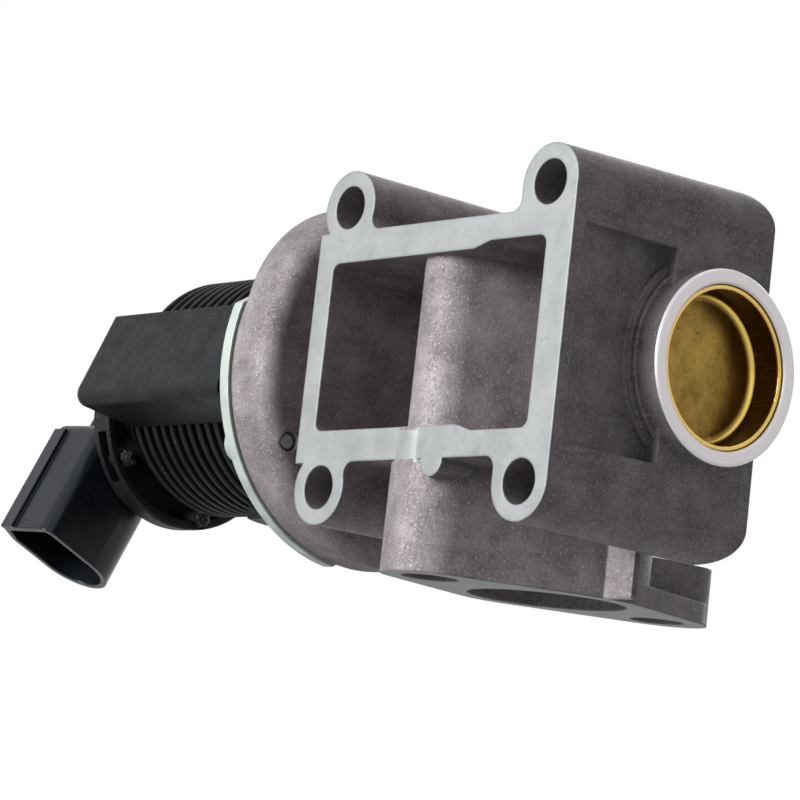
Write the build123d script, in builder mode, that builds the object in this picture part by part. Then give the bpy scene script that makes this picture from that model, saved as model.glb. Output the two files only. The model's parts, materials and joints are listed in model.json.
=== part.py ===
from build123d import *
import os
from math import cos, radians, sin

# Exhaust gas recirculation valve.  Millimetres, +Z up.
# The origin is the centre of the four manifold bolts on the machined face.
# The face looks along -Y, the valve slides along X, the gas flange looks down.

# ---- manifold face and cast body ----
hole_pitch_x = 60.0
hole_pitch_z = 58.0
manifold_hole_r = 4.5
lug_r = 7.7
body_depth = 54.4
end_wall_draft = 1.3
body_left_x = -38.4
body_half_z = 23.9
far_corner_r = 8.0
web_fillet = 2.5
boss_x = 3.9
boss_r = 3.2
boss_drop = 0.4
boss_length = 9.0

# ---- chamber behind the manifold window ----
window_left_x = -33.3
window_right_x = 30.6
window_half_z = 17.4
window_tall_half_z = 18.7
window_step_x = 10.0
window_step_run = 4.6
window_corner_r = 2.0
chamber_depth = 49.0

# ---- valve axis, barrel and stub ----
axis_y = 41.3
barrel_r = 20.5
stub_end_x = 41.0
stub_r = 19.4
stub_bore_r = 16.4
stub_edge_break = 0.4
collar_r = 22.4
collar_step = 1.5
collar_width = 1.5
ridge_r = 0.5

# ---- recess beside the stub ----
recess_half_z = 21.2
recess_start_y = 3.2
recess_end_y = 28.0
recess_shallow = 0.6
recess_deep = 4.2

# ---- gas port and its two-bolt flange ----
port_x = -3.7
port_face_z = -46.0
port_bore_r = 16.4
port_wall = 4.1
port_top_z = 14.5
gas_bolt_pitch = 63.5
gas_bolt_r = 5.75
gas_boss_r = 10.0
gas_flange_thick = 4.5
near_bolt_depth = 24.0
near_column_r = 7.6
far_boss_top_z = -34.0
far_boss_r = 8.2
far_boss_shift = 3.2
gusset_x = 24.3
gusset_y = 38.5
gusset_width = 1.4
gusset_depth = 5.0

# ---- actuator flange on the casting ----
flange_front_x = -55.0
flange_rear_x = -65.7
flange_r = 39.9
flange_draft = 3.5
flange_edge_fillet = 4.2
neck_fillet = 3.0
neck_overlap = 2.0
screw_circle_r = 35.0
screw_angle = -29.0
screw_hole_r = 2.15
lobe_angle = 45.0
lobe_reach = 41.5
lobe_r = 30.0

# ---- stem, seat and guide ----
stem_r = 3.5
stem_tip_r = 2.7
stem_front_x = 24.0
clip_groove_r = 3.0
stem_rear_x = -116.0
slide_gap = 0.05
lift = 6.0
seat_face_x = 18.0
seat_length = 5.5
seat_outer_r = 12.6
seat_bore_r = 9.6
seat_lip = 1.2
seat_boss_r = 15.6
poppet_r = 11.3
poppet_thick = 3.4
poppet_gap = 0.3
bush_r = 6.5
bush_front_x = -25.0
guide_boss_r = 9.8
scraper_thick = 2.2

# ---- spring pocket and return spring ----
pocket_floor_x = -50.0
pocket_r = 11.6
spring_wire = 1.5
spring_r = 8.0
spring_turns = 3.0
spring_gap = 0.3
retainer_x = -63.0
retainer_r = 10.4
retainer_thick = 1.6
clip_thick = 0.9
clip_r = 5.6

# ---- brass plug in the stub ----
plug_gap = 0.05
plug_recess = 0.7
plug_depth = 7.2
plug_wall = 1.0
plug_corner_r = 1.8
plug_rim_r = 0.3

# ---- plate, gasket and screws ----
gasket_margin = 6.0
gasket_thick = 0.5
plate_thick = 2.8
plate_r = 40.5
plate_flat = 30.7
plate_flat_angle = 58.0
screw_head_r = 4.3
screw_head_height = 4.0
screw_head_dome = 1.6
screw_shank_r = 2.1

# ---- solenoid ----
fin_crest_r = 27.2
fin_root_r = 25.3
fin_pitch = 3.25
fin_thick = 1.45
fin_crest_fillet = 0.5
fin_count = 15
first_fin_x = -119.2
casing_rear_x = -125.5
casing_bore_r = 23.4
groove_r = 22.8
guide_gap = 0.2
partition_depth = 4.0
casing_foot_r = 29.8
casing_foot_width = 13.0
casing_foot_x = -98.0
yoke_wall = 1.7
yoke_gap = 0.05
yoke_rear_x = -114.0
pole_r = 9.6
magnetic_gap = 1.0
pole_flange_r = 20.0
pole_flange_thick = 2.5
sleeve_wall = 0.75
bobbin_wall = 1.1
bobbin_flange = 1.5
bobbin_rear_x = -113.2
coil_outer_r = 20.0
armature_r = 9.55
armature_front_x = -94.0
armature_rear_x = -114.0
flux_washer_thick = 3.0
flux_washer_r = 23.3

# ---- end cap, position sensor and connector ----
rim_thick = 6.0
rim_r = 24.9
rim_shift_y = -3.8
rim_shift_z = -5.9
rim_lip = 2.1
rim_groove_depth = 4.4
rim_seat_gap = 0.4
rim_slot_angle = -28.6
rim_edge_r = 0.7
cap_r = 20.0
cap_rear_x = -146.5
cap_wall = 2.0
cap_corner_r = 4.0
stake_r = 2.3
stake_length = 2.2
stake_crown_r = 1.0
stake_gap = 0.05
stake_angles = [-38.0, -92.0]
stake_circle_r = 27.7
plunger_r = 2.0
plunger_length = 18.5
plunger_head_r = 4.6
plunger_head_thick = 2.0
guide_depth = 3.8
guide_r = 21.0
track_width = 7.0
track_thick = 1.2
track_clearance = 1.2
sensor_gap = 0.3
cavity_clearance = 4.5
rim_slot_height = 12.4
rim_slot_wall = 1.9
rim_slot_width = 3.2
sensor_wire = 0.7
sensor_spring_r = 3.4
sensor_spring_turns = 3.0
side_tilt = 23.2
plug_x = -141.1
plug_tilt = 25.0
plug_offset = 6.6
plug_half_x = 9.3
plug_half_e = 12.9
plug_near_r = 3.0
plug_near_drop = 0.9
plug_far_r = 1.0
plug_chamfer_x = 1.9
plug_chamfer_e = 4.4
plug_shell_wall = 1.4
plug_mouth = 48.15
plug_root = 18.5
plug_root_r = 2.5
shoulder_e = 6.0
plug_socket_depth = 19.0
pin_count = 5
pin_pitch = 4.0
pin_length = 11.0
pin_width = 1.5
pin_thick = 0.8
rail_width = 4.4
rail_height = 0.6

# ---- terminal box on the side of the solenoid ----
box_reach = 35.0
box_drop = 23.6
box_top = 0.2
box_inner_drop = 19.4
box_rear_x = -123.8
box_front_gap = 0.6
box_corner_r = 4.0
box_edge_r = 2.5

# ---- derived places ----
outer_x = hole_pitch_x / 2 + lug_r
web_corner_r = min(web_fillet, 0.8 * (hole_pitch_z / 2 - body_half_z))
recess_floor_x = outer_x - recess_deep
port_outer_r = port_bore_r + port_wall
near_bolt_y = axis_y - gas_bolt_pitch / 2
far_bolt_y = axis_y + gas_bolt_pitch / 2
pole_rear_x = armature_front_x + lift + magnetic_gap
plate_front_x = flange_rear_x - gasket_thick
plate_rear_x = plate_front_x - plate_thick
valve_axis = Axis((0, axis_y, 0), (1, 0, 0))
box_tilt = radians(side_tilt)
box_out = Vector(0, -cos(box_tilt), sin(box_tilt))
box_down = Vector(0, -sin(box_tilt), -cos(box_tilt))
shell_tilt = radians(plug_tilt)
plug_out = Vector(0, -cos(shell_tilt), sin(shell_tilt))
plug_down = Vector(0, -sin(shell_tilt), -cos(shell_tilt))
screw_angles = [screw_angle, screw_angle + 180]


def turned(stations, mode=Mode.ADD):
    """Turn a closed outline of (x, radius) stations about the valve axis."""
    with BuildSketch(Plane.XY) as half_section:
        with BuildLine():
            Polyline(*[(x, axis_y + r) for x, r in stations], close=True)
        make_face()
    revolve(half_section.sketch, axis=valve_axis, mode=mode)


def tube(rear_x, front_x, outer, inner, mode=Mode.ADD):
    """A plain ring or tube about the valve axis; inner 0 makes it solid."""
    with BuildSketch(Plane.YZ.offset(rear_x)) as ring:
        with Locations((axis_y, 0)):
            Circle(outer)
            if inner > 0:
                Circle(inner, mode=Mode.SUBTRACT)
    extrude(ring.sketch, amount=front_x - rear_x, mode=mode)


def around(angle, radius):
    """(y, z) of a point at an angle from -Y towards +Z about the valve axis."""
    a = radians(angle)
    return (axis_y - radius * cos(a), radius * sin(a))


# ---- cast housing ----
with BuildPart() as actuator_flange:
    # Round flange with its locating lobe, crowned at the front edge.
    with BuildSketch(Plane.YZ.offset(flange_rear_x)):
        with Locations((axis_y, 0)):
            Circle(flange_r)
        with Locations(around(lobe_angle, lobe_reach - lobe_r)):
            Circle(lobe_r)
    extrude(amount=flange_front_x - flange_rear_x, taper=flange_draft)
    fillet(faces().sort_by(Axis.X)[-1].edges(), flange_edge_fillet)
    # Neck from the flange to the barrel.
    turned([
        (body_left_x + neck_overlap, 0),
        (body_left_x + neck_overlap, barrel_r),
        (flange_front_x + neck_fillet, barrel_r),
        (flange_front_x, barrel_r + neck_fillet),
        (flange_rear_x + neck_overlap, barrel_r + neck_fillet),
        (flange_rear_x + neck_overlap, 0)])

with BuildPart() as valve_housing:
    # Four bolt columns behind the machined face, joined by the body walls.
    with BuildSketch(Plane.XZ):
        with GridLocations(hole_pitch_x, hole_pitch_z, 2, 2):
            Circle(lug_r)
        with Locations((hole_pitch_x / 2, 0)):
            Rectangle(2 * lug_r, hole_pitch_z)
        with Locations(((body_left_x + hole_pitch_x / 2) / 2, 0)):
            Rectangle(hole_pitch_x / 2 - body_left_x, 2 * body_half_z)
        inside_corners = vertices().filter_by_position(
            Axis.X, -0.45 * hole_pitch_x, 0.45 * hole_pitch_x)
        fillet(inside_corners, web_corner_r)
    extrude(amount=-body_depth)
    # The end wall grows taller towards the back, as the mould's draft makes it.
    with BuildSketch(Plane.XZ):
        with Locations((hole_pitch_x / 2, 0)):
            SlotCenterToCenter(hole_pitch_z, 2 * lug_r, rotation=90)
    with BuildSketch(Plane.XZ.offset(-body_depth)):
        with Locations((hole_pitch_x / 2, 0)):
            SlotCenterToCenter(hole_pitch_z + 2 * end_wall_draft, 2 * lug_r, rotation=90)
    loft()
    # Far ends of the columns are rounded off in side view.
    with BuildSketch(Plane.YZ.offset(body_left_x - lug_r)):
        with Locations((body_depth / 2, 0)):
            Rectangle(body_depth, hole_pitch_z + 2 * lug_r + 2 * end_wall_draft)
        fillet(vertices().group_by(Axis.X)[-1], far_corner_r)
    extrude(amount=outer_x - body_left_x + 2 * lug_r, mode=Mode.INTERSECT)
    # Half-round boss under the frame.
    with BuildSketch(Plane.XZ):
        with Locations((boss_x, -body_half_z - boss_drop)):
            Circle(boss_r)
    extrude(amount=-boss_length)
    # Barrel around the valve axis.
    tube(body_left_x, recess_floor_x, barrel_r, 0)
    # Wedge recess in the +X face, deepest beside the stub.
    with BuildSketch(Plane.XY.offset(-recess_half_z)):
        with BuildLine():
            Polyline(
                (outer_x + 1, recess_start_y),
                (outer_x - recess_shallow, recess_start_y),
                (recess_floor_x, recess_end_y),
                (outer_x + 1, recess_end_y),
                close=True)
        make_face()
    extrude(amount=2 * recess_half_z, mode=Mode.SUBTRACT)
    # Stub with its two collar steps.
    tube(recess_floor_x - 1, stub_end_x, stub_r, 0)
    tube(recess_floor_x - 1, recess_floor_x + collar_width, collar_r, 0)
    tube(recess_floor_x - 1, recess_floor_x + 2 * collar_width, collar_r - collar_step, 0)
    ridge_edges = edges().filter_by(GeomType.CIRCLE).filter_by_position(
        Axis.X, recess_floor_x + 0.5 * collar_width, recess_floor_x + 2.5 * collar_width)
    fillet([e for e in ridge_edges if e.radius > stub_r + 0.1], ridge_r)
    add(actuator_flange.part)
    # Gas duct: full height at the port, running forward to the near bolt boss.
    with BuildSketch(Plane.XY.offset(port_face_z)):
        with Locations((port_x, axis_y)):
            Circle(port_outer_r)
        with Locations((port_x, near_bolt_y)):
            Circle(gas_boss_r)
        make_hull()
    extrude(amount=-port_face_z - window_half_z)
    with BuildSketch(Plane.XY.offset(port_face_z)):
        with Locations((port_x, axis_y)):
            Circle(port_outer_r)
    extrude(amount=body_half_z - port_face_z)
    # Two-bolt flange plate and the boss above its far ear.
    with BuildSketch(Plane.XY.offset(port_face_z)):
        with Locations((port_x, axis_y)):
            Circle(port_outer_r)
        with Locations((port_x, near_bolt_y), (port_x, far_bolt_y)):
            Circle(gas_boss_r)
        make_hull()
    extrude(amount=gas_flange_thick)
    with BuildSketch(Plane.XY.offset(port_face_z)):
        with Locations((port_x, far_bolt_y + far_boss_shift), (port_x, axis_y + port_bore_r)):
            Circle(far_boss_r)
        make_hull()
    extrude(amount=far_boss_top_z - port_face_z)
    # Gusset beside the far ear.
    with BuildSketch(Plane.XY.offset(port_face_z)):
        with Locations((gusset_x - gusset_depth, gusset_y)):
            Rectangle(2 * gusset_depth, gusset_width)
    extrude(amount=-body_half_z - port_face_z)

    # Chamber, open at the machined face.
    with BuildSketch(Plane.XZ):
        with BuildLine():
            Polyline(
                (window_left_x, -window_half_z),
                (window_step_x, -window_half_z),
                (window_step_x + window_step_run, -window_tall_half_z),
                (window_right_x, -window_tall_half_z),
                (window_right_x, window_tall_half_z),
                (window_step_x + window_step_run, window_tall_half_z),
                (window_step_x, window_half_z),
                (window_left_x, window_half_z),
                close=True)
        make_face()
        fillet(vertices().group_by(Axis.X)[0], window_corner_r)
        fillet(vertices().group_by(Axis.X)[-1], window_corner_r)
    extrude(amount=-chamber_depth, mode=Mode.SUBTRACT)
    # Bore from the stub to the seat, with a small break on both edges of its end.
    tube(seat_face_x, stub_end_x, stub_bore_r, 0, mode=Mode.SUBTRACT)
    chamfer(faces().sort_by(Axis.X)[-1].edges(), stub_edge_break)
    # Inner duct wall with the bolt column in front of it.
    with BuildSketch(Plane.XY.offset(-window_tall_half_z - 1)):
        with Locations((port_x, axis_y)):
            Circle(port_outer_r)
        with Locations((port_x, near_bolt_y)):
            Circle(near_column_r)
        make_hull()
    extrude(amount=2 * window_tall_half_z + 2)
    tube(port_x, seat_face_x, seat_boss_r, 0)
    tube(body_left_x, port_x, guide_boss_r, 0)
    # Gas bore, closed at the top.
    with BuildSketch(Plane.XY.offset(port_face_z)):
        with Locations((port_x, axis_y)):
            Circle(port_bore_r)
    extrude(amount=port_top_z - port_face_z, mode=Mode.SUBTRACT)
    # Seat bore, guide bore and spring pocket.
    tube(seat_face_x - seat_length, seat_face_x, seat_outer_r, 0, mode=Mode.SUBTRACT)
    tube(port_x, seat_face_x, seat_bore_r, 0, mode=Mode.SUBTRACT)
    tube(flange_rear_x, port_x, bush_r, 0, mode=Mode.SUBTRACT)
    tube(flange_rear_x, pocket_floor_x, pocket_r, 0, mode=Mode.SUBTRACT)
    # Bolt holes.
    with BuildSketch(Plane.XZ):
        with GridLocations(hole_pitch_x, hole_pitch_z, 2, 2):
            Circle(manifold_hole_r)
    extrude(amount=-body_depth, mode=Mode.SUBTRACT)
    with BuildSketch(Plane.XY.offset(port_face_z)):
        with Locations((port_x, near_bolt_y), (port_x, far_bolt_y)):
            Circle(gas_bolt_r)
    extrude(amount=near_bolt_depth, mode=Mode.SUBTRACT)
    with BuildSketch(Plane.YZ.offset(flange_rear_x)):
        with Locations(*[around(a, screw_circle_r) for a in screw_angles]):
            Circle(screw_hole_r)
    extrude(amount=flange_front_x - flange_rear_x, mode=Mode.SUBTRACT)
valve_housing.part.label = "valve_housing"

# ---- brass cup plug pressed into the stub ----
plug_outer_r = stub_bore_r - plug_gap
plug_inner_r = plug_outer_r - plug_wall
plug_mouth_x = stub_end_x - plug_recess
plug_floor_x = plug_mouth_x - plug_depth
with BuildPart() as core_plug:
    tube(plug_floor_x - plug_wall, plug_mouth_x, plug_outer_r, 0)
    fillet(edges().filter_by_position(Axis.X, plug_floor_x - 2 * plug_wall, plug_floor_x),
           plug_corner_r + plug_wall)
    tube(plug_floor_x, plug_mouth_x, plug_inner_r, 0, mode=Mode.SUBTRACT)
    floor_edge = edges().filter_by(GeomType.CIRCLE).filter_by_position(
        Axis.X, plug_floor_x - 0.1, plug_floor_x + 0.1)
    fillet(floor_edge, plug_corner_r)
    mouth_edges = edges().filter_by_position(Axis.X, plug_mouth_x - 0.1, plug_mouth_x + 0.1)
    fillet(mouth_edges, plug_rim_r)
core_plug.part.label = "core_plug"

# ---- hardened seat ring ----
with BuildPart() as valve_seat:
    turned([
        (seat_face_x - seat_length, seat_bore_r),
        (seat_face_x - seat_length, seat_outer_r - slide_gap),
        (seat_face_x, seat_outer_r - slide_gap),
        (seat_face_x, seat_bore_r + seat_lip),
        (seat_face_x - seat_lip, seat_bore_r)])
valve_seat.part.label = "valve_seat"

# ---- stem guide bush and scraper ----
with BuildPart() as guide_bush:
    tube(pocket_floor_x, bush_front_x, bush_r - slide_gap, stem_r + slide_gap)
guide_bush.part.label = "guide_bush"

with BuildPart() as stem_scraper:
    turned([
        (bush_front_x, stem_r + slide_gap),
        (bush_front_x, bush_r - slide_gap),
        (bush_front_x + scraper_thick, bush_r - slide_gap),
        (bush_front_x + scraper_thick, bush_r - 1.4),
        (bush_front_x + scraper_thick - 0.9, stem_r + slide_gap)])
stem_scraper.part.label = "stem_scraper"

# ---- moving stem and poppet ----
poppet_rear_x = seat_face_x - seat_lip + poppet_gap
with BuildPart() as valve_stem:
    tube(stem_rear_x, poppet_rear_x, stem_r, 0)
    tube(poppet_rear_x, stem_front_x, stem_tip_r, 0)
    with BuildSketch(Plane.YZ.offset(retainer_x - retainer_thick - clip_thick)):
        with Locations((axis_y, 0)):
            Circle(stem_r + 0.1)
            Circle(clip_groove_r, mode=Mode.SUBTRACT)
    extrude(amount=clip_thick, mode=Mode.SUBTRACT)
valve_stem.part.label = "valve_stem"

with BuildPart() as poppet_disc:
    turned([
        (poppet_rear_x, stem_tip_r),
        (poppet_rear_x, seat_bore_r - 0.2),
        (poppet_rear_x + 1.9, poppet_r),
        (poppet_rear_x + poppet_thick, poppet_r),
        (poppet_rear_x + poppet_thick, stem_r + 2.0),
        (stem_front_x - 0.6, stem_r + 0.8),
        (stem_front_x - 0.6, stem_tip_r)])
poppet_disc.part.label = "poppet_disc"

# ---- return spring, retainer and clip ----
spring_front_x = pocket_floor_x - spring_gap
spring_rear_x = retainer_x + spring_gap
spring_span = spring_front_x - spring_rear_x - spring_wire
with BuildPart() as return_spring:
    with BuildLine():
        coil_path = Helix(spring_span / spring_turns, spring_span, spring_r,
                          center=(spring_rear_x + spring_wire / 2, axis_y, 0),
                          direction=(1, 0, 0))
    with BuildSketch(Plane(origin=coil_path @ 0, z_dir=coil_path % 0)):
        Circle(spring_wire / 2)
    sweep(path=coil_path, is_frenet=True)
return_spring.part.label = "return_spring"

with BuildPart() as spring_retainer:
    turned([
        (retainer_x - retainer_thick, stem_r + 0.02),
        (retainer_x - retainer_thick, retainer_r),
        (retainer_x, retainer_r),
        (retainer_x, spring_r - spring_wire),
        (retainer_x + 1.4, spring_r - spring_wire - 0.8),
        (retainer_x + 1.4, stem_r + 0.02)])
spring_retainer.part.label = "spring_retainer"

with BuildPart() as retainer_clip:
    with BuildSketch(Plane.YZ.offset(retainer_x - retainer_thick - clip_thick)):
        with Locations((axis_y, 0)):
            Circle(clip_r)
            Circle(clip_groove_r, mode=Mode.SUBTRACT)
        with Locations((axis_y, clip_r)):
            Rectangle(2 * stem_r - 1.8, 2 * clip_r, mode=Mode.SUBTRACT)
    extrude(amount=clip_thick)
retainer_clip.part.label = "retainer_clip"

# ---- gasket, steel plate and its screws ----
with BuildPart() as flange_gasket:
    with BuildSketch(Plane.YZ.offset(plate_front_x)):
        with Locations((axis_y, 0)):
            Circle(flange_r - 1.2)
            Circle(pocket_r + gasket_margin, mode=Mode.SUBTRACT)
        with Locations(*[around(a, screw_circle_r) for a in screw_angles]):
            Circle(screw_hole_r + 0.35, mode=Mode.SUBTRACT)
        with Locations((axis_y, 0)):
            with Locations(Rotation(0, 0, -plate_flat_angle)):
                Rectangle(2 * plate_flat - 1.5, 2.5 * plate_r, mode=Mode.INTERSECT)
    extrude(amount=gasket_thick)
flange_gasket.part.label = "flange_gasket"

with BuildPart() as mounting_plate:
    with BuildSketch(Plane.YZ.offset(plate_rear_x)):
        with Locations((axis_y, 0)):
            Circle(plate_r)
            Circle(pole_r + slide_gap, mode=Mode.SUBTRACT)
        with Locations(*[around(a, screw_circle_r) for a in screw_angles]):
            Circle(screw_hole_r + 0.35, mode=Mode.SUBTRACT)
        with Locations((axis_y, 0)):
            with Locations(Rotation(0, 0, -plate_flat_angle)):
                Rectangle(2 * plate_flat, 2.5 * plate_r, mode=Mode.INTERSECT)
    extrude(amount=plate_thick)
mounting_plate.part.label = "mounting_plate"

with BuildPart() as plate_screws:
    with BuildSketch(Plane.YZ.offset(plate_rear_x - screw_head_height)):
        with Locations(*[around(a, screw_circle_r) for a in screw_angles]):
            Circle(screw_head_r)
    extrude(amount=screw_head_height)
    fillet(faces().sort_by(Axis.X)[:2].edges(), screw_head_dome)
    with BuildSketch(Plane.YZ.offset(plate_rear_x)):
        with Locations(*[around(a, screw_circle_r) for a in screw_angles]):
            Circle(screw_shank_r)
    extrude(amount=flange_front_x - plate_rear_x - 0.6)
plate_screws.part.label = "plate_screws"

# ---- ribbed solenoid casing ----
casing_step_x = yoke_rear_x - flux_washer_thick
with BuildPart() as solenoid_casing:
    tube(casing_rear_x + partition_depth, plate_rear_x, fin_root_r, casing_bore_r)
    tube(casing_rear_x, casing_rear_x + partition_depth, groove_r, guide_r + guide_gap)
    tube(plate_rear_x - 3.0, plate_rear_x, fin_crest_r, casing_bore_r)
    for fin in range(fin_count):
        tube(first_fin_x + fin * fin_pitch - fin_thick / 2,
             first_fin_x + fin * fin_pitch + fin_thick / 2, fin_crest_r, fin_root_r - 0.5)
    crests = edges().filter_by(GeomType.CIRCLE).filter_by_position(
        Axis.X, first_fin_x - fin_thick, first_fin_x + fin_count * fin_pitch)
    fillet([e for e in crests if e.radius > fin_crest_r - 0.1], fin_crest_fillet)
    # Partition behind the coil and the moulded foot under the plate end.
    tube(casing_rear_x + partition_depth, casing_step_x, fin_root_r, pole_r + sleeve_wall + 1.0)
    with BuildSketch(Plane.YZ.offset(casing_foot_x)):
        with Locations((axis_y, -casing_foot_r / 2 - fin_root_r / 2)):
            Rectangle(casing_foot_width, casing_foot_r - fin_root_r + 1)
        with Locations((axis_y, 0)):
            Circle(casing_foot_r, mode=Mode.INTERSECT)
    extrude(amount=plate_rear_x - casing_foot_x)
solenoid_casing.part.label = "solenoid_casing"

# ---- magnetic circuit and coil ----
sleeve_in_r = pole_r + slide_gap
sleeve_out_r = sleeve_in_r + sleeve_wall
pole_flange_rear_x = plate_rear_x - pole_flange_thick
with BuildPart() as yoke_tube:
    tube(yoke_rear_x, plate_rear_x, casing_bore_r - yoke_gap, casing_bore_r - yoke_gap - yoke_wall)
yoke_tube.part.label = "yoke_tube"

with BuildPart() as pole_piece:
    turned([
        (plate_front_x, stem_r + 0.6),
        (plate_front_x, pole_r),
        (plate_rear_x, pole_r),
        (plate_rear_x, pole_flange_r),
        (pole_flange_rear_x, pole_flange_r),
        (pole_flange_rear_x, pole_r),
        (pole_rear_x, pole_r),
        (pole_rear_x, pole_r - 1.5),
        (pole_rear_x + 3.0, pole_r - 3.5),
        (pole_rear_x + 3.0, stem_r + 0.6)])
pole_piece.part.label = "pole_piece"

with BuildPart() as armature_sleeve:
    tube(casing_step_x, pole_flange_rear_x, sleeve_out_r, sleeve_in_r)
armature_sleeve.part.label = "armature_sleeve"

bobbin_in_r = sleeve_out_r + slide_gap
bobbin_out_r = bobbin_in_r + bobbin_wall
coil_front_x = pole_flange_rear_x - bobbin_flange
coil_rear_x = bobbin_rear_x + bobbin_flange
with BuildPart() as coil_bobbin:
    tube(bobbin_rear_x, pole_flange_rear_x, bobbin_out_r, bobbin_in_r)
    tube(coil_front_x, pole_flange_rear_x, coil_outer_r + 1, bobbin_in_r)
    tube(bobbin_rear_x, coil_rear_x, coil_outer_r + 1, bobbin_in_r)
coil_bobbin.part.label = "coil_bobbin"

with BuildPart() as coil_winding:
    tube(coil_rear_x, coil_front_x, coil_outer_r, bobbin_out_r)
coil_winding.part.label = "coil_winding"

with BuildPart() as flux_washer:
    tube(casing_step_x, yoke_rear_x, flux_washer_r, sleeve_out_r + slide_gap)
flux_washer.part.label = "flux_washer"

with BuildPart() as armature:
    turned([
        (armature_rear_x, stem_r + 0.02),
        (armature_rear_x, armature_r),
        (armature_front_x - 2.0, armature_r),
        (armature_front_x, armature_r - 1.8),
        (armature_front_x, stem_r + 0.02)])
armature.part.label = "armature"

# ---- end cap ----
rim_rear_x = casing_rear_x - rim_thick
plug_centre = Vector(plug_x, axis_y, 0) + plug_out * plug_offset
plug_axis = Axis(plug_centre, plug_down)
plug_plane = Plane(origin=plug_centre, x_dir=(1, 0, 0), z_dir=plug_down)
rim_y = axis_y + rim_shift_y
rim_seat_r = casing_bore_r + rim_seat_gap
rim_slot_y = rim_y - rim_r * cos(radians(rim_slot_angle))
rim_slot_z = rim_shift_z + rim_r * sin(radians(rim_slot_angle))
with BuildPart() as end_cap:
    # Eccentric rim against the casing and the domed sensor housing behind it.
    with BuildSketch(Plane.YZ.offset(rim_rear_x)):
        with Locations((rim_y, rim_shift_z)):
            Circle(rim_r)
    extrude(amount=rim_thick)
    fillet(edges(), rim_edge_r)
    tube(cap_rear_x, casing_rear_x, cap_r, 0)
    fillet(edges().filter_by_position(Axis.X, cap_rear_x - 0.1, cap_rear_x + 0.1), cap_corner_r)
    # Square shoulder that the connector grows from.
    with BuildSketch(plug_plane):
        with Locations((0, (shoulder_e - plug_half_e) / 2)):
            RectangleRounded(2 * plug_half_x, plug_half_e + shoulder_e, plug_near_r)
    extrude(amount=plug_root)
    # Sensor cavity.
    tube(cap_rear_x + cap_wall, casing_rear_x, plunger_head_r + cavity_clearance, 0,
         mode=Mode.SUBTRACT)
    # Deep groove inside the rim, where it stands out beyond the casing.
    with BuildSketch(Plane.YZ.offset(casing_rear_x)):
        with Locations((rim_y, rim_shift_z)):
            Circle(rim_r - rim_lip)
        with Locations((axis_y, 0)):
            Circle(rim_seat_r, mode=Mode.SUBTRACT)
        with Locations(*[around(a, stake_circle_r) for a in stake_angles]):
            Circle(stake_r + stake_gap)
    extrude(amount=-rim_groove_depth, mode=Mode.SUBTRACT)
    # Slot through the rim's lip that leaves a thin bar in front of it.
    with BuildSketch(Plane.YZ.offset(rim_rear_x + rim_slot_wall)):
        with Locations((rim_slot_y, rim_slot_z)):
            Rectangle(2 * rim_lip + 2, rim_slot_height, rotation=-rim_slot_angle)
    extrude(amount=rim_slot_width, mode=Mode.SUBTRACT)
end_cap.part.label = "end_cap"

with BuildPart() as cap_stakes:
    with BuildSketch(Plane.YZ.offset(casing_rear_x - rim_groove_depth)):
        with Locations(*[around(a, stake_circle_r) for a in stake_angles]):
            Circle(stake_r)
    extrude(amount=rim_groove_depth + stake_length)
    fillet(faces().sort_by(Axis.X)[-2:].edges(), stake_crown_r)
cap_stakes.part.label = "cap_stakes"

# ---- position sensor ----
plunger_front_x = stem_rear_x
plunger_rear_x = plunger_front_x - plunger_length
with BuildPart() as sensor_plunger:
    tube(plunger_rear_x, plunger_front_x, plunger_r, 0)
    tube(plunger_rear_x, plunger_rear_x + plunger_head_thick, plunger_head_r, 0)
sensor_plunger.part.label = "sensor_plunger"

guide_rear_x = casing_rear_x + guide_gap
with BuildPart() as sensor_guide:
    tube(guide_rear_x, casing_rear_x + guide_depth, guide_r, plunger_r + slide_gap)
sensor_guide.part.label = "sensor_guide"

track_r = plunger_head_r + track_clearance
with BuildPart() as sensor_track:
    with BuildSketch(Plane.XY.offset(track_r)):
        with Locations(((casing_rear_x + cap_rear_x + cap_wall) / 2, axis_y)):
            Rectangle(casing_rear_x - cap_rear_x - cap_wall - 2 * sensor_gap, track_width)
    extrude(amount=track_thick)
sensor_track.part.label = "sensor_track"

sensor_spring_rear_x = cap_rear_x + cap_wall + sensor_gap
sensor_spring_front_x = plunger_rear_x - sensor_gap
sensor_span = sensor_spring_front_x - sensor_spring_rear_x - sensor_wire
with BuildPart() as sensor_spring:
    with BuildLine():
        sensor_path = Helix(sensor_span / sensor_spring_turns, sensor_span, sensor_spring_r,
                            center=(sensor_spring_rear_x + sensor_wire / 2, axis_y, 0),
                            direction=(1, 0, 0))
    with BuildSketch(Plane(origin=sensor_path @ 0, z_dir=sensor_path % 0)):
        Circle(sensor_wire / 2)
    sweep(path=sensor_path, is_frenet=True)
sensor_spring.part.label = "sensor_spring"

# ---- connector shell and pins ----
shell_plane = plug_plane.offset(plug_root)
shell_length = plug_mouth - plug_root


def shell_outline(inset):
    """Section of the shell: round toward the body, flat outside, with its far corner cut off."""
    flat_e = plug_half_e - plug_far_r
    far_x = plug_half_x - plug_far_r
    near_e = plug_half_e - plug_near_r - plug_near_drop
    corner_r = plug_far_r - min(inset, 0.8 * plug_far_r)
    corner_shift = inset + corner_r - plug_far_r
    with BuildSketch() as outline:
        with Locations((0, plug_half_x - plug_half_e)):
            Circle(plug_half_x - inset)
        with Locations((plug_half_x - plug_near_r, near_e)):
            Circle(plug_near_r - inset)
        with Locations((corner_shift + plug_chamfer_x - far_x, flat_e - corner_shift),
                       (corner_shift - far_x, flat_e - plug_chamfer_e)):
            Circle(corner_r)
        make_hull()
    return outline.sketch


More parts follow.
